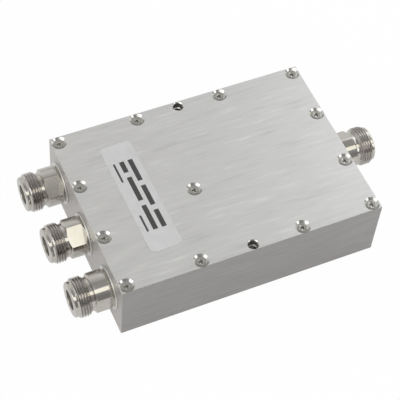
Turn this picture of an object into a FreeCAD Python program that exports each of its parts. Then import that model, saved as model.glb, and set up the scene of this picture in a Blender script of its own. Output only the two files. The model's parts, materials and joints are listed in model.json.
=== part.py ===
import FreeCAD, Part
import os

from FreeCAD import Vector

# Three-way coaxial power splitter: a milled aluminium case with one N socket on the input end, three on the
# output end, and a microstrip divider board inside.
# Millimetres. The origin is at the middle of the underside, +X points to the input end, +Z is up.

# Case
case_length = 109.4
case_width = 78.0
case_height = 28.2
end_wall = 6.2
side_wall = 6.2
lid_thickness = 3.0
pocket_corner_radius = 3.0
edge_break = 0.25

# Ports
port_height = 14.9
output_pitch = 26.4
# How far each socket's wrench flats ended up turned about its axis when it was screwed in, in degrees
flat_angles = {"input": 59.0, "output_front": 0.0, "output_middle": 122.0, "output_back": 131.0}

# Lid screws, M2.5 countersunk with a cross recess
lid_screw_d = 2.5
lid_screw_length = 6.0
lid_screw_tip = 0.65
lid_screw_head_d = 4.6
lid_screw_sink = 0.7
lid_screw_inset = 3.1
lid_screw_hole_depth = 5.0
back_row_spread = 36.5
front_row_spread = 42.8
end_row_spread = 25.5
field_screw_from_end = 44.2
field_screw_y = -4.3
post_d = 8.0

# Mounting holes, threaded for M4 right through the case, one by each long edge
mounting_hole_d = 4.0
mounting_hole_from_side = 2.6
mounting_hole_break = 0.2

# Socket body, with its lengths measured outward from the wall
thread_d = 15.875
shank_d = 15.88
shank_end = 7.4
across_flats = 13.75
shoulder_d = 13.8
neck_d = 13.5
neck_start = 8.1
neck_end = 9.2
thread_end = 13.8
pilot_d = 14.1
mouth = 16.1
mouth_break = 0.4
bore_d = 8.13
reference_depth = 9.1
root_thread_d = 12.0

# Washer between the wall and the socket's shoulder
washer_d = 17.7
washer_thickness = 0.6

# Insulator
bead_d = 7.0
bead_recess = 1.2
tail_bead_d = 4.3

# Centre contact
contact_d = 3.04
contact_tip_depth = 3.9
contact_bore_d = 1.68
contact_bore_depth = 5.0
contact_slot_width = 0.3
contact_slot_length = 4.0
contact_waist_d = 2.1
contact_pin_d = 1.3
contact_pin_reach = 3.2

# Divider board
board_thickness = 1.52
copper_thickness = 0.07
copper_setback = 0.5
line_width = 4.3
transformer_width = 7.0
transformer_length = 14.0
junction_from_wall = 21.5
stages_from_wall = (56.5, 28.5, 12.5)
stage_step = 7.0
stage_widths = (1.6, 2.2, 3.0)
loop_y = 20.0
post_detour = 4.0

# Resistors across neighbouring arms
resistor_length = 5.0
resistor_width = 2.5
resistor_height = 0.6
resistor_lap = 0.8

# Board screws, M2.5 pan heads
board_screw_d = 2.5
board_screw_length = 6.0
board_screw_head_d = 4.5
board_screw_head_height = 1.5
board_screw_crown = 0.5
board_screw_columns = 4
board_screw_from_input = 4.5
board_screw_from_output = 14.5
board_screw_from_side = 4.8

# Cross recesses: the span and slot at the top, the span and slot at the bottom, and the depth
lid_recess = (2.5, 0.6, 1.0, 0.4, 1.3)
board_recess = (2.4, 0.6, 1.0, 0.4, 1.1)

# Label
label_width = 13.1
label_length = 53.2
label_thickness = 0.1
label_corner_radius = 2.0
label_from_end = 23.4
label_y = 0.6
label_turn = 0.75

# Clearances, each on the radius or on one side
slip = 0.02
thread_play = 0.05
screw_play = 0.1
board_gap = 0.3

# How far a cutter runs past the face that it opens
overshoot = 1.0

# Heights and places that follow from the sizes above
lid_base = case_height - lid_thickness
board_top = port_height - contact_pin_d / 2 - copper_thickness
floor_height = board_top - board_thickness
copper_top = board_top + copper_thickness
inner_x = case_length / 2 - end_wall
inner_y = case_width / 2 - side_wall
reference_plane = mouth - reference_depth
bead_face = reference_plane - bead_recess
pilot_start = thread_end + (thread_d - pilot_d) / 2
field_screw_x = -case_length / 2 + field_screw_from_end
label_x = -case_length / 2 + label_from_end
mounting_hole_y = case_width / 2 - mounting_hole_from_side
junction_x = inner_x - junction_from_wall
stage_x = [stage - inner_x for stage in stages_from_wall]


def box(x0, x1, y0, y1, z0, z1):
    """A block between two values along each axis."""
    return Part.makeBox(x1 - x0, y1 - y0, z1 - z0, Vector(x0, y0, z0))


def rod(x, y, z0, z1, diameter):
    """An upright cylinder."""
    return Part.makeCylinder(diameter / 2, z1 - z0, Vector(x, y, z0))


def upright_edges(solid):
    """The edges of a block that run along Z."""
    extents = [(edge, edge.BoundBox) for edge in solid.Edges]
    return [edge for edge, extent in extents if extent.ZLength > extent.XLength + extent.YLength]


def rounded_block(length, width, z0, z1, radius):
    """A block centred on the Z axis with its upright corners rounded."""
    block = box(-length / 2, length / 2, -width / 2, width / 2, z0, z1)
    return block.makeFillet(radius, upright_edges(block))


def turned(outline, axis):
    """A solid turned about X or Z from a closed outline of (distance along the axis, radius) points."""
    if axis == "X":
        points = [Vector(along, 0, radius) for along, radius in outline]
        direction = Vector(1, 0, 0)
    else:
        points = [Vector(radius, 0, along) for along, radius in outline]
        direction = Vector(0, 0, 1)
    wire = Part.makePolygon(points + points[:1])
    return Part.Face(wire).revolve(Vector(), direction, 360).Solids[0]


def port_places():
    """Each port's end of the case, as a sign, and its place along Y."""
    places = {"input": (1, 0), "output_middle": (-1, 0)}
    places["output_front"] = (-1, -output_pitch)
    places["output_back"] = (-1, output_pitch)
    return places


def lid_screw_places():
    """The thirteen lid screws: four corners, two along each side and end, and one in the field."""
    x = case_length / 2 - lid_screw_inset
    y = case_width / 2 - lid_screw_inset
    places = {"field": (field_screw_x, field_screw_y)}
    for end, sx in (("input", 1), ("output", -1)):
        for side, sy in (("back", 1), ("front", -1)):
            spread = back_row_spread if sy > 0 else front_row_spread
            places[end + "_corner_" + side] = (sx * x, sy * y)
            places[end + "_end_" + side] = (sx * x, sy * end_row_spread / 2)
            places[side + "_row_" + end] = (sx * spread / 2, sy * y)
    return places


def board_screw_places():
    """The board screws, in two rows that keep clear of the output lines."""
    first = inner_x - board_screw_from_input
    last = -inner_x + board_screw_from_output
    step = (last - first) / (board_screw_columns - 1)
    y = inner_y - board_screw_from_side
    return [(first + column * step, side * y) for side in (1, -1) for column in range(board_screw_columns)]


def mounting_hole_cutter(face_height, way):
    """One mounting hole at Y = 0 with a broken edge where it meets the face; way is +1 for an upper face."""
    radius = mounting_hole_d / 2
    hole = rod(0, 0, -overshoot, case_height + overshoot, mounting_hole_d)
    rim = [(face_height, 0), (face_height, radius + mounting_hole_break)]
    rim.append((face_height - way * (radius + mounting_hole_break), 0))
    return hole.fuse(turned(rim, "Z"))


def with_mounting_holes(solid, face_height, way):
    """Cuts both mounting holes."""
    for side in (1, -1):
        cutter = mounting_hole_cutter(face_height, way)
        cutter.translate(Vector(0, side * mounting_hole_y, 0))
        solid = solid.cut(cutter)
    return solid


def cross_outline(span, slot, height):
    """A closed outline in the shape of a cross."""
    far, near = span / 2, slot / 2
    corners = [(far, near), (near, near), (near, far)]
    points = []
    for _ in range(4):
        points += [Vector(x, y, height) for x, y in corners]
        corners = [(-y, x) for x, y in corners]
    return Part.makePolygon(points + points[:1])


def cross_recess(top, recess):
    """The cutter for a cross recess, whose wings slope in towards the bottom."""
    span, slot, low_span, low_slot, depth = recess
    outlines = [cross_outline(span, slot, top), cross_outline(low_span, low_slot, top - depth)]
    return Part.makeLoft(outlines, True, True)


# Case
def make_housing():
    """The milled case with its pocket, post, port holes and tapped holes."""
    body = box(-case_length / 2, case_length / 2, -case_width / 2, case_width / 2, 0, lid_base)
    lower = [edge for edge in body.Edges if edge.BoundBox.ZMax < lid_base]
    body = body.makeChamfer(edge_break, upright_edges(body) + lower)
    pocket = rounded_block(2 * inner_x, 2 * inner_y, floor_height, lid_base, pocket_corner_radius)
    post = rod(field_screw_x, field_screw_y, floor_height, lid_base, post_d)
    body = body.cut(pocket.cut(post))
    port_hole_r = root_thread_d / 2 + thread_play
    port_hole = Part.makeCylinder(port_hole_r, end_wall, Vector(-end_wall, 0, 0), Vector(1, 0, 0))
    for end, y in port_places().values():
        body = body.cut(at_port(port_hole, end, y, 0))
    lid_hole_d = lid_screw_d + 2 * thread_play
    for x, y in lid_screw_places().values():
        body = body.cut(rod(x, y, lid_base - lid_screw_hole_depth, lid_base, lid_hole_d))
    board_hole_d = board_screw_d + 2 * thread_play
    for x, y in board_screw_places():
        body = body.cut(rod(x, y, floor_height - board_screw_length, floor_height, board_hole_d))
    return with_mounting_holes(body, 0, -1)


def make_lid():
    """The cover plate with its countersinks."""
    plate = box(-case_length / 2, case_length / 2, -case_width / 2, case_width / 2, lid_base, case_height)
    upper = [edge for edge in plate.Edges if edge.BoundBox.ZMin > lid_base]
    plate = plate.makeChamfer(edge_break, upright_edges(plate) + upper)
    head_top = case_height - lid_screw_sink
    head_radius = lid_screw_head_d / 2 + screw_play
    hole_radius = lid_screw_d / 2 + screw_play
    neck = head_top - (head_radius - hole_radius)
    outline = [
        (lid_base, 0),
        (lid_base, hole_radius),
        (neck, hole_radius),
        (case_height, head_radius + lid_screw_sink),
        (case_height, 0),
    ]
    countersink = turned(outline, "Z")
    for x, y in lid_screw_places().values():
        cutter = countersink.copy()
        cutter.translate(Vector(x, y, 0))
        plate = plate.cut(cutter)
    return with_mounting_holes(plate, case_height, 1)


def make_lid_screw():
    """A countersunk screw on the Z axis, with its head at the height that it has in the lid."""
    head_top = case_height - lid_screw_sink
    head_radius = lid_screw_head_d / 2
    radius = lid_screw_d / 2
    outline = [
        (head_top, 0),
        (head_top, head_radius),
        (head_top - (head_radius - radius), radius),
        (head_top - lid_screw_length + lid_screw_tip, radius),
        (head_top - lid_screw_length, radius - lid_screw_tip),
        (head_top - lid_screw_length, 0),
    ]
    return turned(outline, "Z").cut(cross_recess(head_top, lid_recess))


def make_label():
    """The film on the lid."""
    film = rounded_block(
        label_width, label_length, case_height, case_height + label_thickness, label_corner_radius
    )
    film.rotate(Vector(), Vector(0, 0, 1), label_turn)
    film.translate(Vector(label_x, label_y, 0))
    return film


# Sockets, made along +X with the wall's outer face at X = 0
def make_socket_body():
    """Shank, undercut, thread and pilot outside; bore, bead seat and tail hole inside."""
    thread_r = thread_d / 2
    shank_r = shank_d / 2
    pilot_r = pilot_d / 2
    neck_r = neck_d / 2
    bead_seat = washer_thickness
    outline = [
        (-end_wall, tail_bead_d / 2 + slip),
        (-end_wall, root_thread_d / 2),
        (washer_thickness, root_thread_d / 2),
        (washer_thickness, shoulder_d / 2),
        (washer_thickness + shank_r - shoulder_d / 2, shank_r),
        (shank_end, shank_r),
        (neck_start, neck_r),
        (neck_end, neck_r),
        (neck_end + thread_r - neck_r, thread_r),
        (thread_end, thread_r),
        (pilot_start, pilot_r),
        (mouth - mouth_break, pilot_r),
        (mouth, pilot_r - mouth_break),
        (mouth, bore_d / 2 + mouth_break),
        (mouth - mouth_break, bore_d / 2),
        (reference_plane, bore_d / 2),
        (reference_plane, bead_d / 2 + slip),
        (bead_seat, bead_d / 2 + slip),
        (bead_seat, tail_bead_d / 2 + slip),
    ]
    body = turned(outline, "X")
    for side in (1, -1):
        flat = box(washer_thickness, neck_start, 0, shank_d, -shank_d, shank_d)
        flat.translate(Vector(0, across_flats / 2, 0))
        if side < 0:
            flat.rotate(Vector(), Vector(1, 0, 0), 180)
        body = body.cut(flat)
    return body


def make_washer():
    """The thin ring under the socket's shoulder."""
    inner = root_thread_d / 2 + thread_play
    outer = washer_d / 2
    return turned([(0, inner), (0, outer), (washer_thickness, outer), (washer_thickness, inner)], "X")


def make_insulator():
    """The bead, which is wide behind the reference plane and narrow through the wall."""
    outline = [
        (-end_wall, contact_pin_d / 2 + slip),
        (-end_wall, tail_bead_d / 2),
        (washer_thickness, tail_bead_d / 2),
        (washer_thickness, bead_d / 2),
        (bead_face, bead_d / 2),
        (bead_face, contact_waist_d / 2 + slip),
        (washer_thickness, contact_waist_d / 2 + slip),
        (washer_thickness, contact_pin_d / 2 + slip),
    ]
    return turned(outline, "X")


def make_contact():
    """A slotted socket in front, a waist in the bead, and a pin that lies on the board's line."""
    tip = mouth - contact_tip_depth
    outline = [
        (-end_wall - contact_pin_reach, 0),
        (-end_wall - contact_pin_reach, contact_pin_d / 2),
        (washer_thickness, contact_pin_d / 2),
        (washer_thickness, contact_waist_d / 2),
        (bead_face, contact_waist_d / 2),
        (bead_face, contact_d / 2),
        (tip, contact_d / 2),
        (tip, contact_bore_d / 2),
        (tip - contact_bore_depth, contact_bore_d / 2),
        (tip - contact_bore_depth, 0),
    ]
    contact = turned(outline, "X")
    half = contact_slot_width / 2
    start = tip - contact_slot_length
    contact = contact.cut(box(start, tip, -contact_d, contact_d, -half, half))
    return contact.cut(box(start, tip, -half, half, -contact_d, contact_d))


def at_port(shape, end, y, turn):
    """Puts a socket's piece on its port and turns it about its own axis."""
    placed = shape.copy()
    placed.translate(Vector(case_length / 2, 0, 0))
    if end < 0:
        placed.rotate(Vector(), Vector(0, 0, 1), 180)
    placed.rotate(Vector(), Vector(1, 0, 0), turn)
    placed.translate(Vector(0, y, port_height))
    return placed


# Divider board
def make_board():
    """The board, cut out for the post and the board screws."""
    length = 2 * (inner_x - board_gap)
    width = 2 * (inner_y - board_gap)
    board = rounded_block(length, width, floor_height, board_top, pocket_corner_radius)
    board = board.cut(rod(field_screw_x, field_screw_y, floor_height, board_top, post_d + 2 * board_gap))
    for x, y in board_screw_places():
        board = board.cut(rod(x, y, floor_height, board_top, board_screw_d + 2 * screw_play))
    return board


def track(points, width):
    """Copper along a path of straight runs, with square corners."""
    half = width / 2
    runs = []
    for (x0, y0), (x1, y1) in zip(points, points[1:]):
        left, right = min(x0, x1) - half, max(x0, x1) + half
        front, back = min(y0, y1) - half, max(y0, y1) + half
        runs.append(box(left, right, front, back, board_top, copper_top))
    return runs


def stage_y(stage):
    """How far from the middle line an outer arm stands at a stage, so that the resistor spans the gap."""
    return resistor_length - 2 * resistor_lap + stage_widths[stage]


def outer_arm(side):
    """One outer arm: a loop for each quarter wave, back in to the resistor, and out to its port."""
    copper = []
    start = [(junction_x, 0), (junction_x, side * loop_y)]
    for stage, x in enumerate(stage_x):
        near = side * stage_y(stage)
        path = start + [(x, side * loop_y), (x, near)]
        copper += track(path, stage_widths[stage])
        start = [(x, near), (x - stage_step, near), (x - stage_step, side * loop_y)]
    bend = stage_x[-1] - stage_step
    port_y = side * output_pitch
    end = -inner_x + board_gap + copper_setback + line_width / 2
    copper += track([start[0], (bend, start[0][1]), (bend, port_y), (end, port_y)], line_width)
    return copper


def middle_arm():
    """The middle arm, which steps round the post."""
    detour_start = field_screw_x + post_d
    detour_end = field_screw_x - post_d
    end = -inner_x + board_gap + copper_setback + line_width / 2
    copper = track([(junction_x, 0), (stage_x[0], 0)], stage_widths[0])
    around = [(stage_x[0], 0), (detour_start, 0), (detour_start, post_detour), (detour_end, post_detour)]
    copper += track(around + [(detour_end, 0), (stage_x[1], 0)], stage_widths[1])
    copper += track([(stage_x[1], 0), (stage_x[2], 0)], stage_widths[2])
    copper += track([(stage_x[2], 0), (end, 0)], line_width)
    return copper


def make_traces():
    """All the copper on top of the board, as one piece."""
    start = inner_x - board_gap - copper_setback - line_width / 2
    wide_half = transformer_width / 2
    copper = track([(start, 0), (junction_x, 0)], line_width)
    wide_start = junction_x + transformer_length - wide_half
    copper += track([(wide_start, 0), (junction_x + wide_half, 0)], transformer_width)
    copper += outer_arm(1) + outer_arm(-1) + middle_arm()
    return copper[0].multiFuse(copper[1:]).removeSplitter().Solids[0]


def make_resistor(stage, side):
    """A chip that bridges the gap between the middle arm and an outer arm."""
    middle = side * stage_y(stage) / 2
    half = resistor_width / 2
    x = stage_x[stage]
    y0 = middle - resistor_length / 2
    return box(x - half, x + half, y0, y0 + resistor_length, copper_top, copper_top + resistor_height)


def make_board_screw():
    """A pan-head screw on the Z axis, with its head on the board."""
    top = board_top + board_screw_head_height
    head_r = board_screw_head_d / 2
    radius = board_screw_d / 2
    outline = [
        (top, 0),
        (top, head_r - board_screw_crown),
        (top - board_screw_crown, head_r),
        (board_top, head_r),
        (board_top, radius),
        (board_top - board_screw_length, radius),
        (board_top - board_screw_length, 0),
    ]
    return turned(outline, "Z").cut(cross_recess(top, board_recess))


def moved(shape, x, y):
    """A copy of a shape, moved across the case."""
    copy = shape.copy()
    copy.translate(Vector(x, y, 0))
    return copy


def make_parts():
    """Every node's shape, by name."""
    parts = {"housing": make_housing(), "lid": make_lid(), "label": make_label()}
    lid_screw = make_lid_screw()
    for place, (x, y) in lid_screw_places().items():
        parts["lid_screw_" + place] = moved(lid_screw, x, y)
    pieces = {
        "socket_body": make_socket_body(),
        "washer": make_washer(),
        "insulator": make_insulator(),
        "contact": make_contact(),
    }
    for port, (end, y) in port_places().items():
        for piece, shape in pieces.items():
            parts[port + "_" + piece] = at_port(shape, end, y, flat_angles[port])
    parts["circuit_board"] = make_board()
    parts["copper_traces"] = make_traces()
    for stage in range(len(stage_x)):
        for side, name in ((1, "back"), (-1, "front")):
            parts["resistor_%s_%d" % (name, stage + 1)] = make_resistor(stage, side)
    board_screw = make_board_screw()
    for number, (x, y) in enumerate(board_screw_places()):
        parts["board_screw_%d" % (number + 1)] = moved(board_screw, x, y)
    return parts


os.makedirs("parts", exist_ok=True)
for node, shape in make_parts().items():
    shape.exportStep("parts/" + node + ".step")
    print(node, len(shape.Solids), round(shape.Volume, 2), shape.isValid())
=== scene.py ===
# %% [markdown]
# A three-way power splitter is a flat aluminium case that shares one radio signal among three
# cables. Its case, lid, sockets and screws are drawn to size elsewhere and arrive here as a fixed
# frame, which this script never moves. It gives the pieces their surfaces, cuts their fine
# threads, and adds a floor, lamps and a camera.

# %% Load the part
import json
import math

import bmesh
import bpy
from bmesh.types import BMEdge, BMVert
from mathutils import Matrix, Quaternion, Vector
from mathutils.kdtree import KDTree


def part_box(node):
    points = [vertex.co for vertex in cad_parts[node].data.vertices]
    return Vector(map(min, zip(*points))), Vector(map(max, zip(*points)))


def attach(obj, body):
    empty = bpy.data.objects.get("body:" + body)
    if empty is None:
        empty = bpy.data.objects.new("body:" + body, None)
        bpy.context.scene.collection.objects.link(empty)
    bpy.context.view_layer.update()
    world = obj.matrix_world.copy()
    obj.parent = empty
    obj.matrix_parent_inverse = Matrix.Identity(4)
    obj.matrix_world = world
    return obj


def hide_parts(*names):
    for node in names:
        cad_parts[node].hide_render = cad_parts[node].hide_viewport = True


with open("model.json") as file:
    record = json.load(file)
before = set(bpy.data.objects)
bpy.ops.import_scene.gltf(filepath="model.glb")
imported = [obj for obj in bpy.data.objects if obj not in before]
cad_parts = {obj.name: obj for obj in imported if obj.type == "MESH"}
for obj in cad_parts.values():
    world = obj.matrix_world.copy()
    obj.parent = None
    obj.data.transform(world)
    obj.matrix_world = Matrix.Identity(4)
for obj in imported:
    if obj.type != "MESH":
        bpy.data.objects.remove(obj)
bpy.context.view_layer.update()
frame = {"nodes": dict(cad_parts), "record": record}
print("loaded", len(frame["nodes"]), "nodes")

# %% [markdown]
# The camera comes first, because every later choice is judged through it. Its place was found
# from the case's corners in the photograph: with a long lens, from above and from the end that
# has three sockets. A camera looks down its own -Z axis, so its turn is found from the line to
# the point that it aims at, and then rolled a little about that line.

# %% Camera
camera_place = Vector((-0.16276, -0.29068, 0.46638))
camera_aim = Vector((-0.01056, -0.00999, 0.0282))
camera_roll = math.radians(5.884)
lens_mm = 125.78
film_width_mm = 36

camera_data = bpy.data.cameras.new("camera")
camera_data.lens = lens_mm
camera_data.sensor_width = film_width_mm
camera = bpy.data.objects.new("camera", camera_data)
camera.location = camera_place
camera.rotation_mode = "QUATERNION"
look = (camera_aim - camera_place).to_track_quat("-Z", "Y")
camera.rotation_quaternion = look @ Quaternion((0, 0, 1), camera_roll)
bpy.context.scene.collection.objects.link(camera)
bpy.context.scene.camera = camera
print("camera", round((camera_aim - camera_place).length, 3), "m from the lid")

# %% [markdown]
# The scene is in metres, but nobody thinks of a screw in metres. Each new piece is therefore
# shaped in millimetres, and one function makes it an object at the end. That function also closes
# the seam that a spin leaves, turns the faces outwards and shades the piece, so that no piece can
# miss a step. Weighted normals keep a large flat face looking flat right up to its rounded edge.

# %% From millimetres to a finished piece
MM = 0.001
WELD = 0.0005  # points closer than this, in millimetres, are the same point
SHARP_ANGLE = math.radians(35)


def box_mm(node):
    """Lowest and highest corner of a node, in millimetres."""
    low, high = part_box(node)
    return low / MM, high / MM


def finish_piece(name, bm, material, nodes=(), place=Matrix()):
    """Makes a mesh in millimetres an object in metres, which rides on the case and stands for
    some nodes."""
    bmesh.ops.remove_doubles(bm, verts=bm.verts, dist=WELD)
    bmesh.ops.recalc_face_normals(bm, faces=bm.faces)
    bm.transform(Matrix.Scale(MM, 4) @ place)
    mesh = bpy.data.meshes.new(name)
    bm.to_mesh(mesh)
    bm.free()
    mesh.shade_smooth()
    mesh.set_sharp_from_angle(angle=SHARP_ANGLE)
    mesh.materials.append(material)
    piece = bpy.data.objects.new(name, mesh)
    bpy.context.scene.collection.objects.link(piece)
    piece.modifiers.new("even_shading", "WEIGHTED_NORMAL").keep_sharp = True
    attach(piece, "root")
    if nodes:
        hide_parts(*nodes)
    print(name, len(mesh.polygons), "faces")
    return piece


print("a millimetre is", MM, "m, and points within", WELD, "mm are merged")

# %% [markdown]
# A turned part is a flat outline swept once round an axis, and the outline is a few points joined
# by edges. A Screw modifier could sweep it too, but the spin operator leaves a mesh that later
# steps can still cut. Real turned parts have no knife edges, so chosen corners of the outline are
# rounded before the sweep: one rounded corner becomes a rounded edge all the way round.

# %% Turning
TURN_STEPS = 128


def chain(bm, places, closed=False):
    """New vertices at some places, with an edge from each to the next."""
    verts = [bm.verts.new(place) for place in places]
    for pair in zip(verts, verts[1:] + (verts[:1] if closed else [])):
        bm.edges.new(pair)
    return verts


def outline(bm, points, axis, closed=False):
    """A chain through (distance along the axis, radius) points."""
    if axis == "X":
        return chain(bm, [(along, 0, radius) for along, radius in points], closed)
    return chain(bm, [(radius, 0, along) for along, radius in points], closed)


def round_off(bm, geom, radius, segments, affect="VERTICES"):
    """Rounds some corners of an outline, or some edges. Returns the new vertices."""
    return bmesh.ops.bevel(
        bm, geom=geom, offset=radius, segments=segments, profile=0.5, affect=affect, material=-1
    )["verts"]


def turn(bm, axis, turn_steps=TURN_STEPS):
    """Sweeps everything in the mesh once round X or Z."""
    direction = Vector((1, 0, 0)) if axis == "X" else Vector((0, 0, 1))
    bmesh.ops.spin(
        bm, geom=bm.verts[:] + bm.edges[:], cent=(0, 0, 0), axis=direction, angle=math.tau,
        steps=turn_steps, use_merge=True
    )


print("a turned piece has", TURN_STEPS, "steps to the round")

# %% [markdown]
# Every finish is a small group of shader nodes on a metal or plastic base. What tells brushed
# aluminium from nickel is less its colour than the size and direction of its marks, so one helper
# makes marks: a noise that is stretched along one axis until it turns into streaks. It is given
# its size in millimetres along each axis. A picture of scratches would do as well, but a noise
# has no seams and no edge.

# %% Colours and marks


def screen_colour(colour):
    """Linear values for a colour given in steps of 255 on screen."""
    return [((step / 255 + 0.055) / 1.055) ** 2.4 for step in colour]


def new_finish(name, colour, metallic, roughness):
    """A material with its shader. The colour is given as it is on screen, from 0 to 255."""
    material = bpy.data.materials.new(name)
    material.use_nodes = True
    shader = material.node_tree.nodes["Principled BSDF"]
    shader.inputs["Base Color"].default_value = (*screen_colour(colour), 1)
    shader.inputs["Metallic"].default_value = metallic
    shader.inputs["Roughness"].default_value = roughness
    return material, shader


def marks(material, size, detail=2.0, tilt=0.0):
    """A noise whose marks have this size in millimetres along X, Y and Z, turned by a few
    degrees about Z."""
    tree = material.node_tree
    place = tree.nodes.new("ShaderNodeTexCoord")
    stretch = tree.nodes.new("ShaderNodeMapping")
    stretch.inputs["Rotation"].default_value = (0, 0, math.radians(tilt))
    stretch.inputs["Scale"].default_value = [1 / (MM * along) for along in size]
    noise = tree.nodes.new("ShaderNodeTexNoise")
    noise.inputs["Scale"].default_value = 1
    noise.inputs["Detail"].default_value = detail
    tree.links.new(place.outputs["Object"], stretch.inputs["Vector"])
    tree.links.new(stretch.outputs["Vector"], noise.inputs["Vector"])
    return noise.outputs["Fac"]


print("128 of 255 on screen is", round(screen_colour((128,))[0], 3), "of full light")

# %% [markdown]
# Real marks come in layers, fine ones over broad ones, so patterns are added up, each with its
# share. The way a face looks is a pattern too. It lets one finish treat a plate's face, its sides
# and its countersinks each in their own way, as different tools have left them.

# %% Patterns from patterns


def calculated(tree, operation, *values):
    """The result of a Math node that is fed with other nodes' outputs or with plain numbers."""
    node = tree.nodes.new("ShaderNodeMath")
    node.operation = operation
    for socket, value in zip(node.inputs, values):
        if isinstance(value, bpy.types.NodeSocket):
            tree.links.new(value, socket)
        else:
            socket.default_value = value
    return node.outputs[0]


def mixed(material, patterns):
    """One pattern from several, each with its share."""
    total = 0
    for pattern, share in patterns:
        total = calculated(material.node_tree, "MULTIPLY_ADD", pattern, share, total)
    return total


def facing(material, axis):
    """How squarely a face looks along an axis: 1 for a face across it, a half at 45 degrees."""
    tree = material.node_tree
    surface = tree.nodes.new("ShaderNodeNewGeometry")
    axes = tree.nodes.new("ShaderNodeSeparateXYZ")
    tree.links.new(surface.outputs["Normal"], axes.inputs["Vector"])
    return calculated(tree, "POWER", axes.outputs[axis], 2)


share_at_30 = math.cos(math.radians(30)) ** 2
print("a face that is turned 30 degrees away from an axis faces it by", round(share_at_30, 2))

# %% [markdown]
# A pattern only shows once it steers the shader. A ramp turns its levels into colours or into
# values, and bump lets it raise and sink the surface. A noise seldom leaves its middle levels, so
# a plain change of colour or roughness is spread over those.

# %% From a pattern to the shader
LOW_LEVEL, HIGH_LEVEL = 0.3, 0.7


def graded(owner, pattern, socket, stops):
    """Feeds a socket with a pattern, changed to a colour or value at each of some levels."""
    tree = owner.node_tree
    ramp = tree.nodes.new("ShaderNodeValToRGB")
    elements = ramp.color_ramp.elements
    while len(elements) < len(stops):
        elements.new(0.5)
    for element, (level, value) in zip(elements, sorted(stops.items())):
        element.position = level
        element.color = (*value, 1) if isinstance(value, list) else (value, value, value, 1)
    tree.links.new(pattern, ramp.inputs["Fac"])
    tree.links.new(ramp.outputs["Color"], socket)


def vary_roughness(material, shader, pattern, smooth, rough):
    """Lets a pattern change how rough the surface is."""
    stops = {LOW_LEVEL: smooth, HIGH_LEVEL: rough}
    graded(material, pattern, shader.inputs["Roughness"], stops)


def vary_colour(material, shader, pattern, dark, light):
    """Lets a pattern change the colour between two colours given as on screen."""
    stops = {LOW_LEVEL: screen_colour(dark), HIGH_LEVEL: screen_colour(light)}
    graded(material, pattern, shader.inputs["Base Color"], stops)


def roughen(material, shader, pattern, depth):
    """Lets a pattern raise and sink the surface by this depth in millimetres, as bump."""
    tree = material.node_tree
    bump = tree.nodes.new("ShaderNodeBump")
    bump.inputs["Distance"].default_value = depth * MM
    tree.links.new(pattern, bump.inputs["Height"])
    tree.links.new(bump.outputs["Normal"], shader.inputs["Normal"])


print("a pattern changes a value between its levels", LOW_LEVEL, "and", HIGH_LEVEL)

# %% [markdown]
# The lid is brushed lengthwise on a belt, which leaves long scratches that are hardly ever
# parallel to the last degree. Fine streaks show in a close look, broad ones from a step away, and
# soft clouds keep both from looking even. The lid's narrow sides were milled together with the
# case, and its countersinks were cut last and are the smoothest. The levels of one pattern tell
# these faces apart, from the sides at the bottom to the face at the top. The long sides are painted
# darker and the ends lighter: painted shade and painted light, as the lamps fall on them.

# %% The lid's aluminium


def lid_finish():
    material, shader = new_finish("brushed_lid", (222, 221, 218), metallic=0.85, roughness=0.42)
    fine = marks(material, (7, 0.12, 0.12), detail=3)
    broad = marks(material, (14, 1.4, 1.4), detail=2, tilt=-1)
    clouds = marks(material, (18, 7, 7), detail=2, tilt=-5)
    grain = mixed(material, [(fine, 0.2), (broad, 0.5), (clouds, 0.3)])
    along, up = facing(material, "X"), facing(material, "Z")
    zones_and_painted_light = mixed(material, [(grain, 0.3), (along, 0.25), (up, 0.75)])
    graded(material, zones_and_painted_light, shader.inputs["Base Color"], {
        # the two long sides, darker with painted shade
        0.09: screen_colour((166, 164, 163)),
        0.21: screen_colour((176, 174, 173)),
        # the two ends, lighter with painted light
        0.34: screen_colour((200, 197, 195)),
        0.45: screen_colour((212, 209, 207)),
        # the countersinks
        0.48: screen_colour((210, 209, 206)),
        0.71: screen_colour((224, 223, 220)),
        # the face, mostly of one tone, with a few darker and lighter streaks
        0.845: screen_colour((215, 214, 212)),
        0.882: screen_colour((228, 227, 225)),
        0.917: screen_colour((231, 230, 228)),
        0.95: screen_colour((243, 242, 240)),
    })
    graded(material, zones_and_painted_light, shader.inputs["Roughness"], {
        0.09: 0.42, 0.21: 0.5, 0.34: 0.42, 0.45: 0.5, 0.48: 0.15, 0.71: 0.22, 0.84: 0.36, 0.96: 0.5,
    })
    graded(material, zones_and_painted_light, shader.inputs["Metallic"], {0.45: 0.85, 0.48: 1.0, 0.71: 1.0, 0.84: 0.85})
    roughen(material, shader, fine, 0.004)
    return material


lid_metal = lid_finish()
print("finish", lid_metal.name)

# %% [markdown]
# The case is milled: darker than the lid, with its tool marks lying level round its sides. Its
# two ends are painted lighter than its long sides, as painted light and painted shade. It is made
# with the same helpers, from level streaks and from how squarely a face looks along the case.

# %% The case's aluminium


def case_finish():
    material, shader = new_finish("milled_case", (176, 175, 172), metallic=0.9, roughness=0.45)
    fine = marks(material, (4, 4, 0.09), detail=3)
    broad = marks(material, (18, 18, 1.2), detail=2)
    grain = mixed(material, [(fine, 0.5), (broad, 0.5)])
    zones_and_painted_light = mixed(material, [(grain, 0.5), (facing(material, "X"), 0.5)])
    graded(material, zones_and_painted_light, shader.inputs["Base Color"], {
        # the long sides, darker with painted shade
        0.15: screen_colour((159, 157, 156)),
        0.35: screen_colour((183, 181, 180)),
        # the two ends, lighter with painted light
        0.65: screen_colour((196, 193, 191)),
        0.85: screen_colour((216, 213, 211)),
    })
    vary_roughness(material, shader, grain, 0.42, 0.5)
    roughen(material, shader, fine, 0.004)
    return material


case_metal = case_finish()
print("finish", case_metal.name)
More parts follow.
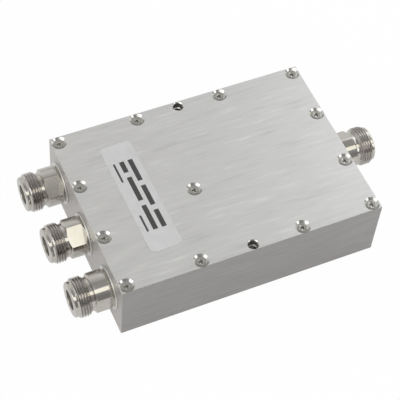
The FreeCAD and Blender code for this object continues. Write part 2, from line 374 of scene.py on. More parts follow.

# %% [markdown]
# The sockets are turned from brass and plated with bright nickel, which is slightly warmer than
# steel. Turning leaves faint rings round the axis, so the marks are short along X and long across
# it. Over a stamped or bored surface the same plating is satin. Down in a thread, below its crests,
# the plating is rougher and painted darker: painted shade in the grooves. The screws are steel, and
# their heads show a little wear from the driver. A tapped hole's thread is painted nearly black, as
# painted shade deep in the hole. All but the first differ only in numbers, so one function makes
# them.

# %% Nickel and steel


def nickel_finish():
    material, shader = new_finish("bright_nickel", (204, 200, 193), metallic=1, roughness=0.12)
    rings = marks(material, (0.06, 6, 6), detail=2)
    stains = marks(material, (5, 5, 5), detail=2)
    vary_colour(material, shader, stains, (199, 195, 187), (209, 205, 199))
    vary_roughness(material, shader, mixed(material, [(rings, 0.6), (stains, 0.4)]), 0.1, 0.14)
    roughen(material, shader, rings, 0.0003)
    return material


def grained_finish(name, dark, light, metallic, rough, grain=(0.3, 0.3, 0.3), detail=3, depth=0):
    """A finish whose colour and roughness both drift between two values with the same grain."""
    material, shader = new_finish(name, light, metallic, rough[1])
    pattern = marks(material, grain, detail)
    vary_colour(material, shader, pattern, dark, light)
    vary_roughness(material, shader, pattern, *rough)
    if depth:
        roughen(material, shader, pattern, depth)
    return material


nickel = nickel_finish()
satin_nickel = grained_finish("satin_nickel", (216, 213, 206), (228, 225, 219), 1, (0.3, 0.38))
# painted shade: the thread's grooves are painted darker than the bright nickel, and are rougher
thread_shade_nickel = grained_finish("thread_shade_nickel", (181, 176, 173), (195, 190, 187), 1, (0.16, 0.24))
washer_nickel = grained_finish("washer_nickel", (228, 227, 223), (238, 237, 234), 1, (0.34, 0.46))
steel = grained_finish(
    "bright_steel", (172, 168, 161), (192, 190, 185), 1, (0.24, 0.34), (0.5, 0.5, 0.5),
    detail=4, depth=0.003
)
# painted shade: the tapped hole's thread is painted nearly black for the shade deep in the hole
hole_shade_metal = grained_finish(
    "hole_thread_shade", (66, 65, 63), (90, 89, 87), 1, (0.1, 0.18), (0.4, 0.4, 0.4)
)
for finish in (nickel, satin_nickel, thread_shade_nickel, washer_nickel, steel, hole_shade_metal):
    print("finish", finish.name)

# %% [markdown]
# The lid is a plate with thirteen countersunk holes and two plain ones. The countersinks reach
# the plate's edge and nick it, as a real cutter does, so here a cutter is the honest way. One
# mesh holds every cutter, each turned from its own outline, and the plate is a block whose edges
# are softened before anything is cut.

# %% Blocks and cutters
EDGE_SOFT = 0.25
CUTTER_STEPS = 96
CLEAR = 1.0  # how far a cutter stands out of the plate


def soft_block(low, high, soft):
    """A block with its upright edges and the rim of its top softened."""
    bm = bmesh.new()
    middle = Matrix.Translation((low + high) / 2)
    bmesh.ops.create_cube(bm, size=1, matrix=middle @ Matrix.Diagonal((*(high - low), 1)))
    upright = [e for e in bm.edges if abs(e.verts[0].co.z - e.verts[1].co.z) > WELD]
    round_off(bm, upright, soft, segments=3, affect="EDGES")
    rim = [e for e in bm.edges if all(v.co.z > high.z - WELD for v in e.verts)]
    round_off(bm, rim, soft, segments=3, affect="EDGES")
    return bm


def turned_mesh(points):
    """A closed mesh turned about Z from (height, radius) points that start and end on the axis."""
    bm = bmesh.new()
    outline(bm, points, "Z")
    turn(bm, "Z", CUTTER_STEPS)
    mesh = bpy.data.meshes.new("turned")
    bm.to_mesh(mesh)
    bm.free()
    return mesh


def add_at(bm, mesh, x, y):
    """Adds a mesh, moved to x and y."""
    mesh.transform(Matrix.Translation((x, y, 0)))
    bm.from_mesh(mesh)
    mesh.transform(Matrix.Translation((-x, -y, 0)))


print("a cutter stands", CLEAR, "mm out of the plate and has", CUTTER_STEPS, "steps to the round")

# %% [markdown]
# A boolean takes all the cutters out of the plate at once. It is a modifier, so both meshes become
# objects for a moment, and the result is read back as a mesh. Of Blender's solvers the manifold
# one suits machined parts: it is fast and leaves a closed skin, as long as both meshes are closed.

# %% Cutting with a boolean


def cut_away(bm, cutter):
    """Takes the cutter out of a solid, both as meshes, and returns what is left."""
    solids = []
    for source in (bm, cutter):
        bmesh.ops.remove_doubles(source, verts=source.verts, dist=WELD)
        bmesh.ops.recalc_face_normals(source, faces=source.faces)
        mesh = bpy.data.meshes.new("solid")
        source.to_mesh(mesh)
        source.free()
        solids.append(bpy.data.objects.new("solid", mesh))
        bpy.context.scene.collection.objects.link(solids[-1])
    cut = solids[0].modifiers.new("cut", "BOOLEAN")
    cut.operation = "DIFFERENCE"
    cut.solver = "MANIFOLD"
    cut.object = solids[1]
    graph = bpy.context.evaluated_depsgraph_get()
    left = bmesh.new()
    left.from_mesh(solids[0].evaluated_get(graph).to_mesh())
    for solid in solids:
        bpy.data.objects.remove(solid)
    print("cut a block down to", len(left.faces), "faces")
    return left


# %% [markdown]
# The countersinks follow the screws: each is centred on its screw's own node, so the two can't
# drift apart. The two plain holes take their place from the record's mount, which is what a user
# of the part would measure from.

# %% The lid
countersink_r = 3.1
screw_hole_r = 1.35
mount_edge = 0.3

screw_nodes = sorted(node for node in frame["nodes"] if node.startswith("lid_screw_"))
mounting = next(m for m in frame["record"]["mounts"] if m["name"] == "mounting_holes")
mounting_r = mounting["dims"]["hole_r_mm"]
mounting_y = mounting["dims"]["spacing_y_mm"] / 2


def screw_place(node):
    """Where a lid screw stands, as x and y."""
    low, high = box_mm(node)
    return (low.x + high.x) / 2, (low.y + high.y) / 2


def lid_cutters(low, high):
    """All fifteen cutters, which run clear of both faces of the plate."""
    neck = high.z - (countersink_r - screw_hole_r)
    countersink = turned_mesh([
        (high.z + CLEAR, 0),
        (high.z + CLEAR, countersink_r + CLEAR),
        (neck, screw_hole_r),
        (low.z - CLEAR, screw_hole_r),
        (low.z - CLEAR, 0),
    ])
    plain = turned_mesh([
        (high.z + CLEAR, 0),
        (high.z + CLEAR, mounting_r + mount_edge + CLEAR),
        (high.z - mount_edge, mounting_r),
        (low.z - CLEAR, mounting_r),
        (low.z - CLEAR, 0),
    ])
    cutters = bmesh.new()
    for node in screw_nodes:
        add_at(cutters, countersink, *screw_place(node))
    for side in (1, -1):
        add_at(cutters, plain, 0, side * mounting_y)
    return cutters


lid_low, lid_high = box_mm("lid")
lid_plate = cut_away(soft_block(lid_low, lid_high, EDGE_SOFT), lid_cutters(lid_low, lid_high))
finish_piece("lid_plate", lid_plate, lid_metal, ["lid"])

# %% [markdown]
# A cross-recess screw head is what a viewer's eye checks first on a small machine part. Its
# recess could be cut with a boolean, but a sheet with a cross in it stays cleaner: the sheet fills
# the top between the rim and the cross, and the cross is pushed down and drawn in, as the punch
# that forms it does.

# %% A screw's cross recess
cross_span = 2.3
cross_slot = 0.56
cross_depth = 0.8
cross_taper = 0.5
cross_round = 0.16
cross_soft = 0.04


def only(kind, geom):
    """The vertices or the edges among what an operator gives back."""
    return [g for g in geom if isinstance(g, kind)]


def edges_of(verts):
    """Every edge at some vertices, once."""
    return list(dict.fromkeys(e for v in verts for e in v.link_edges))


def cross(bm, span, slot):
    """A cross of edges with rounded corners, at height zero, as one loop."""
    far, near = span / 2, slot / 2
    corners = [Vector((far, near, 0)), Vector((near, near, 0)), Vector((near, far, 0))]
    quarters = [Matrix.Rotation(quarter * math.pi / 2, 4, "Z") for quarter in range(4)]
    verts = chain(bm, [spin @ corner for spin in quarters for corner in corners], closed=True)
    return edges_of(round_off(bm, verts, cross_round, segments=3))


def push_cross(bm, edges, depth, taper):
    """Pushes a cross down and draws it in towards its middle."""
    deeper = bmesh.ops.extrude_edge_only(bm, edges=edges)["geom"]
    bmesh.ops.scale(bm, verts=only(BMVert, deeper), vec=(taper, taper, 1))
    bmesh.ops.translate(bm, verts=only(BMVert, deeper), vec=(0, 0, -depth))
    bmesh.ops.contextual_create(bm, geom=only(BMEdge, deeper))


print("recess", cross_span, "mm across and", cross_depth, "mm deep")

# %% [markdown]
# The screw itself is turned from an outline: a short chamfered shank, the cone of the head, and
# the head's thin edge. One screw is modelled and then copied to each of the thirteen places. The
# shank stays plain, because nobody sees it.

# %% The lid screws
head_edge = 0.08
head_slope = 0.16
screw_r = 1.25
screw_tip = 0.65
SCREW_STEPS = 64


def screw_mesh():
    """A countersunk screw on the Z axis, with the top of its head at zero."""
    low, high = box_mm("lid_screw_field")
    head_r = (high.x - low.x) / 2
    length = high.z - low.z
    bm = bmesh.new()
    points = [
        (-length, 0),
        (-length, screw_r - screw_tip),
        (-length + screw_tip, screw_r),
        (-(head_r - screw_r), screw_r),
        (-2 * head_edge, head_r - head_edge),
        (-head_edge, head_r),
        (0, head_r - head_slope),
    ]
    outline(bm, points, "Z")
    turn(bm, "Z", SCREW_STEPS)
    rim = [e for e in bm.edges if e.is_boundary and e.verts[0].co.z > -WELD]
    recess = cross(bm, cross_span, cross_slot)
    bmesh.ops.triangle_fill(bm, edges=rim + recess, use_beauty=True, use_dissolve=False)
    push_cross(bm, recess, cross_depth, cross_taper)
    round_off(bm, recess, cross_soft, segments=1, affect="EDGES")
    return bm


one_screw = screw_mesh()
for node in screw_nodes:
    name = node.replace("lid_screw", "screw")
    place = Matrix.Translation((*screw_place(node), box_mm(node)[1].z))
    finish_piece(name, one_screw.copy(), steel, [node], place)

# %% [markdown]
# The socket's thread is a real helix, because its crests catch the light as a row of fine bright
# lines. A picture or bump couldn't give it a toothed outline. The profile of one turn is drawn
# once, with its flat crest and root and two flanks at 60 degrees to each other. A spin that also
# moves along the axis at every step makes one turn of the helix, and the other turns are copies.
# Both ends are cut square, so that the thread can be joined to the body.

# %% Cutting a thread
FLANK_LEAN = math.radians(30)
CREST_PART = 5.5  # a crest is pitch / 5.5 wide, more than the standard's eighth, so that it shows
EARLY = 1.5  # a helix starts this many pitches early, so that the first cut is complete


def thread_profile(bm, pitch, crest_r, depth, cuts):
    """One pitch of a thread along X, from root to root, with its flanks divided for trimming."""
    flank = abs(depth) * math.tan(FLANK_LEAN)
    crest = pitch / CREST_PART
    root = pitch - crest - 2 * flank
    root_r = crest_r - depth
    outline(bm, [
        (0, root_r),
        (root, root_r),
        (root + flank, crest_r),
        (root + flank + crest, crest_r),
        (pitch, root_r),
    ], "X")
    flanks = [e for e in bm.edges if abs(e.verts[0].co.z - e.verts[1].co.z) > WELD]
    bmesh.ops.subdivide_edges(bm, edges=flanks, cuts=cuts)


def helix(bm, pitch, start, end, turn_steps):
    """Sweeps a profile that starts at zero along a right-hand helix about X, and cuts it square
    at both ends."""
    bmesh.ops.spin(
        bm, geom=bm.verts[:] + bm.edges[:], cent=(0, 0, 0), axis=(1, 0, 0),
        dvec=(pitch / turn_steps, 0, 0), angle=math.tau, steps=turn_steps
    )
    one_turn = bm.verts[:] + bm.edges[:] + bm.faces[:]
    for number in range(1, math.ceil((end - start) / pitch) + 2):
        copy = bmesh.ops.duplicate(bm, geom=one_turn)["geom"]
        bmesh.ops.translate(bm, verts=only(BMVert, copy), vec=(number * pitch, 0, 0))
    bmesh.ops.remove_doubles(bm, verts=bm.verts, dist=2 * WELD)
    bmesh.ops.translate(bm, verts=bm.verts, vec=(start - EARLY * pitch, 0, 0))
    for place, inner in ((start, True), (end, False)):
        bmesh.ops.bisect_plane(
            bm, geom=bm.verts[:] + bm.edges[:] + bm.faces[:], plane_co=(place, 0, 0),
            plane_no=(1, 0, 0), dist=WELD / 10, clear_inner=inner, clear_outer=not inner
        )


print("flanks at", round(2 * math.degrees(FLANK_LEAN)), "degrees to each other")

# %% [markdown]
# A thread doesn't simply stop. At either end a lathe's chamfer trims its crests, and here a limit
# does that: every vertex that stands out too far is drawn straight in until it lies on a cone of
# 45 degrees. That is why the flanks were divided, since a cone needs points to bend at.

# %% Trimming a thread


def move_to_radius(vert, radius):
    """Moves a vertex straight in or out until it is this far from the X axis."""
    change = radius / math.hypot(vert.co.y, vert.co.z)
    vert.co.y *= change
    vert.co.z *= change


def trim(bm, limit, plain_from):
    """Draws every vertex outside a limit in to it. The limit is a radius at each distance along
    X. From a given distance on, the grooves are filled up to the limit too, which leaves a plain
    surface there."""
    moved = 0
    for vert in bm.verts:
        allowed = limit(vert.co.x)
        if math.hypot(vert.co.y, vert.co.z) > allowed or vert.co.x > plain_from:
            move_to_radius(vert, allowed)
            moved += 1
    print("trimmed", moved, "of", len(bm.verts), "points")


# %% [markdown]
# From the wall outwards a socket is a round shank with two wrench flats, a narrow undercut, a
# short thread of 5/8 inch with 24 turns to the inch, and a smooth pilot round the mouth. Inside is
# a wide bore that ends at the reference plane, with the white bead behind it. What the drawn
# pieces fix is read from them. The rest is in millimetres: radii, and distances from the wall.

# %% A socket's sizes
wall_x = box_mm("housing")[1].x
body_low, body_high = box_mm("input_socket_body")
washer_low, washer_high = box_mm("input_washer")
mouth = body_high.x - wall_x
tail_length = wall_x - body_low.x
washer_thickness = washer_high.x - washer_low.x

inch = 25.4
thread_r = inch * 5 / 8 / 2
thread_pitch = inch / 24
thread_depth = 0.62
thread_end = 13.8
lead_in = 0.25
shank_r = 7.94
shank_end = 7.4
shoulder_r = 6.9
shoulder_end = washer_thickness + shank_r - shoulder_r
neck_r = 6.75
neck_start = 8.1
neck_end = 9.2
pilot_r = 7.05
pilot_start = thread_end + thread_r - pilot_r
mouth_break = 0.4
bore_break = 0.18
bore_r = 4.065
bore_depth = 9.1
reference_plane = mouth - bore_depth
bead_r = 3.52
tail_r = 6.0
tail_bore_r = 2.17
flat_from_axis = 6.875
corner_r = 0.07
print("a socket stands out", round(mouth, 2), "mm")

# %% [markdown]
# A socket body is one long outline: over the pilot and the mouth, down the bore, along the tail
# and back over the shank to the undercut. The gap that is left in it is where the thread goes.
# Before the outline is swept, the corners that catch the light are rounded. Afterwards two planes
# cut the wrench flats out of the shank alone.

# %% A socket's body


def body_outline(bm):
    """The open outline of a socket, from the pilot round to the undercut."""
    mouth_corners = [
        (mouth - mouth_break, pilot_r),
        (mouth, pilot_r - mouth_break),
        (mouth, bore_r + bore_break),
        (mouth - bore_break, bore_r),
    ]
    shank_corners = [
        (washer_thickness, shoulder_r),
        (shoulder_end, shank_r),
        (shank_end, shank_r),
        (neck_start, neck_r),
    ]
    inside = [
        (reference_plane, bore_r),
        (reference_plane, bead_r),
        (washer_thickness, bead_r),
        (washer_thickness, tail_bore_r),
        (-tail_length, tail_bore_r),
        (-tail_length, tail_r),
        (washer_thickness, tail_r),
    ]
    points = [(pilot_start, pilot_r), *mouth_corners, *inside, *shank_corners, (neck_end, neck_r)]
    verts = outline(bm, points, "X")
    seen = [v for v, point in zip(verts, points) if point in mouth_corners + shank_corners]
    round_off(bm, seen, corner_r, segments=2)


def on_shank(face):
    """Whether a face belongs to the outside of the shank or of the undercut's slope."""
    along = face.calc_center_median().x
    outside = all(math.hypot(v.co.y, v.co.z) > tail_r - WELD for v in face.verts)
    return washer_thickness - WELD < along < neck_start + WELD and outside


def cut_flats(bm):
    """Cuts the two wrench flats out of the shank and closes each with one face."""
    for side in (1, -1):
        shank = [f for f in bm.faces if on_shank(f)]
        geom = list(dict.fromkeys(g for f in shank for g in (f, *f.edges, *f.verts)))
        cut = bmesh.ops.bisect_plane(
            bm, geom=geom, plane_co=(0, side * flat_from_axis, 0), plane_no=(0, side, 0),
            dist=WELD / 10, clear_outer=True
        )
        rim = only(BMEdge, cut["geom_cut"])
        flat = bmesh.ops.edgeloop_fill(bm, edges=rim)["faces"]
        print("wrench flat with", len(rim), "edges and", len(flat), "face")


# %% [markdown]
# The thread's cut ends have a few more points than the body's, because its spiral edges cross the
# cut. Each of them is merged into the nearest point of the body, which leaves one closed skin with
# no gap and no sliver. The open edges are counted, and there must be none.

# %% Joining thread and body


def join(bm, other, ends):
    """Adds another mesh and merges the points of its open ends into the nearest of some given
    ones."""
    spare = bpy.data.meshes.new("spare")
    other.to_mesh(spare)
    other.free()
    before = set(bm.verts)
    bm.from_mesh(spare)
    bpy.data.meshes.remove(spare)
    loose = [v for v in bm.verts if v not in before and v.is_boundary]
    nearest = KDTree(len(ends))
    for number, vert in enumerate(ends):
        nearest.insert(vert.co, number)
    nearest.balance()
    bmesh.ops.weld_verts(bm, targetmap={v: ends[nearest.find(v.co)[1]] for v in loose})
    open_edges = sum(e.is_boundary for e in bm.edges)
    print("joined", len(loose), "points,", open_edges, "edges left open")


# %% [markdown]
# Now the socket is put together. Its faces get three finishes: bright where a tool has turned them
# smooth, rougher and painted darker in the thread below its crests, as painted shade, and satin in
# the bore and on the shoulder. The cones that run out the thread stay bright, and are known by the
# way they face.

# %% One socket
BRIGHT, THREAD_SHADE, SATIN = range(3)
# below this depth the thread is painted darker, as painted shade
crest_depth = 0.05  # how far below the crests the plating turns dull
cone_facing = (0.6, 0.8)  # a cone at 45 degrees faces along the axis by 0.71


def thread_limit(x):
    """How far out the thread may reach: to its crests, or to the cone at either end."""
    return min(thread_r, neck_r + x - neck_end, pilot_r + pilot_start - x)


def face_finish(face):
    """The finish of one face of a socket."""
    middle = face.calc_center_median()
    radius = math.hypot(middle.y, middle.z)
    end_cone = cone_facing[0] < abs(face.normal.x) < cone_facing[1]
    in_thread = neck_end < middle.x < pilot_start and neck_r < radius < thread_r - crest_depth
    in_bore = middle.x > reference_plane - WELD and radius < bore_r
    on_shoulder = washer_thickness < middle.x < shoulder_end and radius > shoulder_r
    # the thread below its crests gets the painted shade
    if in_thread and not end_cone:
        return THREAD_SHADE
    return SATIN if in_bore or on_shoulder else BRIGHT


def socket_mesh():
    """A socket along +X, with the wall's outer face at zero."""
    bm = bmesh.new()
    body_outline(bm)
    turn(bm, "X")
    cut_flats(bm)
    body_ends = [v for v in bm.verts if v.is_boundary]

    thread = bmesh.new()
    thread_profile(thread, thread_pitch, thread_r, thread_depth, cuts=4)
    helix(thread, thread_pitch, neck_end, pilot_start, TURN_STEPS)
    trim(thread, thread_limit, thread_end + lead_in)
    join(bm, thread, body_ends)

    bm.normal_update()
    for face in bm.faces:
        face.material_index = face_finish(face)
    return bm


one_socket = socket_mesh()
print("one socket has", len(one_socket.faces), "faces")

# %% [markdown]
# Each socket was screwed in until it was tight, so the wrench flats of each stop at an angle of
# their own. The body is made along +X, turned round for the output end, turned about its own
# axis, and put at the height and place of its own node.

# %% The four sockets
flat_turns = {"input": 59, "output_front": 0, "output_middle": 122, "output_back": 131}


def at_port(port):
    """The place of a port's pieces: which end, where along Y and Z, and how far turned."""
    low, high = box_mm(port + "_washer")
    middle = (low + high) / 2
    flats = Matrix.Rotation(math.radians(flat_turns[port]), 4, "X")
    place = Matrix.Translation((0, middle.y, middle.z)) @ flats
    if middle.x < 0:
        place = place @ Matrix.Rotation(math.pi, 4, "Z")
    return place @ Matrix.Translation((wall_x, 0, 0))


for port in flat_turns:
    socket, drawn = port + "_socket", port + "_socket_body"
    piece = finish_piece(socket, one_socket.copy(), nickel, [drawn], at_port(port))
    for finish in (thread_shade_nickel, satin_nickel):
        piece.data.materials.append(finish)

# %% [markdown]
# The washers are stamped rings. Stamping rounds their outer edge, and that round edge is the thin
# bright line between each socket and the wall. A ring is a closed outline, turned like the rest.

# %% Washers
washer_r = (washer_high.y - washer_low.y) / 2
washer_hole_r = 6.05
washer_round = 0.2


def washer_mesh():
    bm = bmesh.new()
    points = [
        (0, washer_hole_r),
        (0, washer_r),
        (washer_thickness, washer_r),
        (washer_thickness, washer_hole_r),
    ]
    verts = outline(bm, points, "X", closed=True)
    round_off(bm, verts[1:3], washer_round, segments=4)
    turn(bm, "X")
    return bm


for port in flat_turns:
    ring, drawn = port + "_ring", port + "_washer"
    finish_piece(ring, washer_mesh(), washer_nickel, [drawn], at_port(port))

# %% [markdown]
# The lid's two mounting holes are plain, and under them the case is tapped right through. That
# thread is a sleeve with a helix inside, made with the same helpers as the sockets' thread. Inside
# a hole the crests point inwards, so the profile has a negative depth: its flat crest stands at
# the hole's wall and its roots reach in towards the axis. A small bright cone leads a screw into
# the thread. It is what glints half way down each hole.

# %% Threads in the mounting holes
mount_pitch = 0.7
mount_depth = 0.36
mount_wall = 0.02
MOUNT_STEPS = 48


def mounting_cone(name, y):
    """The lead-in of a mounting hole: a ring whose slope faces up and inwards."""
    top = lid_low.z - mount_wall
    bottom = top - mount_depth
    bm = bmesh.new()
    points = [(top, mounting_r), (bottom, mounting_r - mount_depth), (bottom, mounting_r)]
    outline(bm, points, "Z", closed=True)
    turn(bm, "Z", SCREW_STEPS)
    finish_piece(name, bm, lid_metal, (), Matrix.Translation((0, y, 0)))


def mounting_thread(name, y):
    """A sleeve in a mounting hole: a helix inside, and a plain outside that closes it."""
    start, end = mount_edge + mount_wall, lid_low.z - mount_depth - 2 * mount_wall
    bm = bmesh.new()
    thread_profile(
        bm, mount_pitch, mounting_r - mount_depth, 2 * mount_wall - mount_depth, cuts=1
    )
    helix(bm, mount_pitch, start, end, MOUNT_STEPS)
    rims = [e for e in bm.edges if e.is_boundary]
    outer = bmesh.ops.extrude_edge_only(bm, edges=rims)["geom"]
    for vert in only(BMVert, outer):
        move_to_radius(vert, mounting_r)
    bmesh.ops.bridge_loops(bm, edges=only(BMEdge, outer))
    upright = Matrix.Translation((0, y, 0)) @ Matrix.Rotation(-math.pi / 2, 4, "Y")
    finish_piece(name, bm, hole_shade_metal, (), upright)


for side, y in (("back", mounting_y), ("front", -mounting_y)):
    mounting_thread("mounting_thread_" + side, y)
    mounting_cone("mounting_cone_" + side, y)

# %% [markdown]
# The label is a thin satin film with round corners, stuck on a little askew, as hands do it. Its
# outline is four points with their corners rounded. It is filled with one face, and the face is
# extruded to the film's thickness.

# %% Label
label_width = 13.1
label_length = 53.2
label_corner = 2.0
label_turn = math.radians(0.75)
ink_thickness = 0.01  # the film ends this far below the drawn label's top, and the ink lies on it


def plate(bm, width, length, corner, x, y, low, high):
    """A thin plate with round corners, standing at x and y."""
    corners = [(-1, -1), (1, -1), (1, 1), (-1, 1)]
    places = [(x + u * width / 2, y + v * length / 2, low) for u, v in corners]
    rim = edges_of(round_off(bm, chain(bm, places, closed=True), corner, segments=6))
    bmesh.ops.contextual_create(bm, geom=rim)
    top = bmesh.ops.extrude_face_region(bm, geom=rim[0].link_faces[:])["geom"]
    bmesh.ops.translate(bm, verts=only(BMVert, top), vec=(0, 0, high - low))


label_low, label_high = box_mm("label")
label_middle = (label_low + label_high) / 2
label_place = Matrix.Translation((label_middle.x, label_middle.y, 0))
label_place = label_place @ Matrix.Rotation(label_turn, 4, "Z")
film_top = label_high.z - ink_thickness

film = bmesh.new()
plate(film, label_width, label_length, label_corner, 0, 0, label_low.z, film_top)
film_plastic = grained_finish(
    "label_film", (216, 216, 217), (223, 223, 224), 0, (0.36, 0.48), (4, 4, 4)
)
finish_piece("label_film", film, film_plastic, ["label"], label_place)

# %% [markdown]
# What a maker prints on a label stays off this part: a few plain dark bars stand in its place, in
# a layout of their own. They are modelled as raised ink, a hundredth of a millimetre thick,
# because a shape prints sharp at any distance and needs no picture.

# %% Print
bar_corner = 0.15
# for each row, at this distance from the label's middle line: how wide its bars are, and from
# where to where each of them runs
bar_rows = {
    2.9: (2.0, [(17.5, 6.5), (4.0, -6.0), (-8.5, -17.0)]),
    -0.7: (2.0, [(17.5, 12.0), (9.5, -2.5), (-5.0, -17.0)]),
    -3.9: (0.8, [(17.5, 8.0), (-9.0, -17.0)]),
}


def ink_finish():
    material, shader = new_finish("print_ink", (70, 68, 68), metallic=0, roughness=0.5)
    speckle = marks(material, (0.3, 0.3, 0.3), detail=3)
    vary_colour(material, shader, speckle, (62, 60, 60), (84, 82, 82))
    return material


ink = bmesh.new()
for x, (width, bars) in bar_rows.items():
    for start, end in bars:
        middle = (start + end) / 2
        plate(ink, width, start - end, bar_corner, x, middle, film_top, label_high.z)
finish_piece("label_print", ink, ink_finish(), (), label_place)

# %% [markdown]
# The pieces that keep their drawn shape only need a finish. Most of them sit inside the case or
# deep in a socket, and are finished all the same, because the lid may be taken off: white
# insulators, gold contacts, a pale laminate with bright copper, and black resistors.

# %% Finishes for the pieces inside
inner_finishes = {
    "insulator": grained_finish(
        "white_bead", (222, 221, 216), (240, 239, 235), 0, (0.35, 0.5), (0.8, 0.8, 0.8),
        depth=0.01
    ),
    "contact": grained_finish(
        "gold_plate", (214, 172, 92), (236, 198, 120), 1, (0.16, 0.26), (0.05, 2, 2), depth=0.001
    ),
    "circuit_board": grained_finish(
        "laminate", (198, 188, 156), (214, 205, 176), 0, (0.5, 0.65), (0.4, 0.4, 2), depth=0.01
    ),
    "copper_traces": grained_finish(
        "copper", (206, 128, 92), (226, 152, 114), 1, (0.22, 0.36), (0.6, 0.6, 0.6), depth=0.004
    ),
    "resistor": grained_finish(
        "resistor_black", (34, 34, 36), (52, 52, 54), 0, (0.35, 0.5), depth=0.01
    ),
    "board_screw": steel,
    "housing": case_metal,
}

for node, piece in frame["nodes"].items():
    for word, material in inner_finishes.items():
        if word in node:
            piece.data.materials.clear()
            piece.data.materials.append(material)
print("finished", sum(len(o.data.materials) > 0 for o in frame["nodes"].values()), "nodes")

# %% [markdown]
# The photograph has a pure white ground. A white floor under strong lamps would bleach the metal,
# so the floor is lit plainly and its whiteness is helped along: part of what the camera and every
# reflection see of it is a plain white glow, and the rest is the real floor with the part's own
# soft shadow. The floor lies a hair below the part, so that two faces never share one plane, and
# it is clear from below, so that the underside can be looked at.

# %% The floor's material
CAMERA_GLOW = 0.98
METAL_GLOW = 0.4
FLOOR_TONE = 0.85


def blended(tree, share, first, second):
    """The first shader where the share is 0, and the second where it is 1."""
    blend = tree.nodes.new("ShaderNodeMixShader")
    tree.links.new(share, blend.inputs["Fac"])
    tree.links.new(first, blend.inputs[1])
    tree.links.new(second, blend.inputs[2])
    return blend.outputs["Shader"]


def floor_material():
    material = bpy.data.materials.new("floor")
    material.use_nodes = True
    tree = material.node_tree
    tree.nodes.clear()
    ray = tree.nodes.new("ShaderNodeLightPath")
    share = mixed(material, [
        (ray.outputs["Is Camera Ray"], CAMERA_GLOW),
        (ray.outputs["Is Glossy Ray"], METAL_GLOW),
        (ray.outputs["Is Transmission Ray"], METAL_GLOW),
    ])
    lit = tree.nodes.new("ShaderNodeBsdfDiffuse")
    lit.inputs["Color"].default_value = (FLOOR_TONE, FLOOR_TONE, FLOOR_TONE, 1)
    glow = tree.nodes.new("ShaderNodeEmission")
    from_above = blended(tree, share, lit.outputs["BSDF"], glow.outputs["Emission"])
    side = tree.nodes.new("ShaderNodeNewGeometry")
    clear = tree.nodes.new("ShaderNodeBsdfTransparent")
    shader = blended(tree, side.outputs["Backfacing"], from_above, clear.outputs["BSDF"])
    end = tree.nodes.new("ShaderNodeOutputMaterial")
    tree.links.new(shader, end.inputs["Surface"])
    return material


print("the camera sees", CAMERA_GLOW, "of the floor as glow, and metal", METAL_GLOW)

# %% [markdown]
# The floor itself is one large square.

# %% Floor
FLOOR_GAP = 0.05
floor_size = 6

floor_bm = bmesh.new()
bmesh.ops.create_grid(floor_bm, x_segments=1, y_segments=1, size=floor_size / 2)
bmesh.ops.translate(floor_bm, verts=floor_bm.verts, vec=(0, 0, -FLOOR_GAP * MM))
floor_mesh = bpy.data.meshes.new("floor")
floor_bm.to_mesh(floor_mesh)
floor_bm.free()
floor_mesh.materials.append(floor_material())
floor = bpy.data.objects.new("floor", floor_mesh)
bpy.context.scene.collection.objects.link(floor)
print("floor", floor_size, "m across")

# %% [markdown]
# Polished metal shows the room more than itself. The room here is a world that is painted by
# direction: light grey behind the part, darker overhead, and dark low in front, where a studio is
# empty. The angle is measured from the horizon in front, over the top, to the horizon behind.
# Only reflections and soft light see it: to the camera the world is plain white.

# %% Room
# how bright the room is at each angle in degrees
room_tones = {0: 0.3, 25: 0.26, 45: 0.36, 85: 0.4, 105: 0.37, 125: 0.61, 145: 0.8, 180: 0.6}


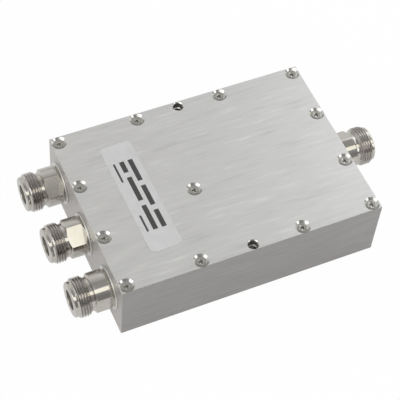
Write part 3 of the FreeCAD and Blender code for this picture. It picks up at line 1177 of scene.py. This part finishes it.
def paint_room():
    world = bpy.data.worlds.new("room")
    world.use_nodes = True
    bpy.context.scene.world = world
    tree = world.node_tree
    tree.nodes.clear()
    place = tree.nodes.new("ShaderNodeTexCoord")
    axes = tree.nodes.new("ShaderNodeSeparateXYZ")
    tree.links.new(place.outputs["Generated"], axes.inputs["Vector"])
    front = calculated(tree, "MULTIPLY", axes.outputs["Y"], -1)
    angle = calculated(tree, "ARCTAN2", axes.outputs["Z"], front)
    level = calculated(tree, "DIVIDE", angle, math.pi)
    room = tree.nodes.new("ShaderNodeBackground")
    stops = {degrees / 180: tone for degrees, tone in room_tones.items()}
    graded(world, level, room.inputs["Color"], stops)
    white = tree.nodes.new("ShaderNodeBackground")
    white.inputs["Color"].default_value = (1, 1, 1, 1)
    ray = tree.nodes.new("ShaderNodeLightPath")
    room_light, white_light = room.outputs["Background"], white.outputs["Background"]
    seen = blended(tree, ray.outputs["Is Camera Ray"], room_light, white_light)
    end = tree.nodes.new("ShaderNodeOutputWorld")
    tree.links.new(seen, end.inputs["Surface"])


paint_room()
print("room with", len(room_tones), "tones")

# %% [markdown]
# A strip and three soft boxes light the part. The long strip above the camera draws the bright
# line along each socket. The boxes at left and right pick out the countersinks and every edge
# that faces along the case, and a small one behind on the right lights the single socket and the
# far end of the lid. They stay out of the camera's own view. A lamp's power is worked out from
# how bright its face should look in a reflection.

# %% Lamps
bpy.context.scene.view_settings.view_transform = "Standard"


def soft_box(name, direction, distance, size, brightness, colour=(1, 1, 1)):
    """A soft box that faces the part, with its face this bright. Its first side lies level."""
    data = bpy.data.lights.new(name, "AREA")
    data.shape = "RECTANGLE"
    data.size, data.size_y = size
    data.color = colour
    data.energy = brightness * math.pi * size[0] * size[1]
    lamp = bpy.data.objects.new(name, data)
    lamp.location = Vector(direction).normalized() * distance
    lamp.rotation_mode = "QUATERNION"
    lamp.rotation_quaternion = (-lamp.location).to_track_quat("-Z", "Y")
    lamp.visible_camera = False
    bpy.context.scene.collection.objects.link(lamp)
    print(name, round(data.energy, 2), "W")


soft_box(
    "strip", direction=(0.05, -0.53, 0.82), distance=0.9, size=(1.5, 0.34), brightness=1.12,
    colour=(1.0, 0.99, 0.88)
)
soft_box("left_box", direction=(-0.82, -0.2, 0.54), distance=0.9, size=(0.6, 0.6), brightness=1.8)
soft_box("right_box", direction=(0.71, -0.58, 0.41), distance=1.3, size=(0.7, 0.5), brightness=1.4)
soft_box(
    "back_right_box", direction=(0.88, 0.3, 0.6), distance=0.38, size=(0.28, 0.28),
    brightness=0.92, colour=(0.92, 0.97, 1.0)
)
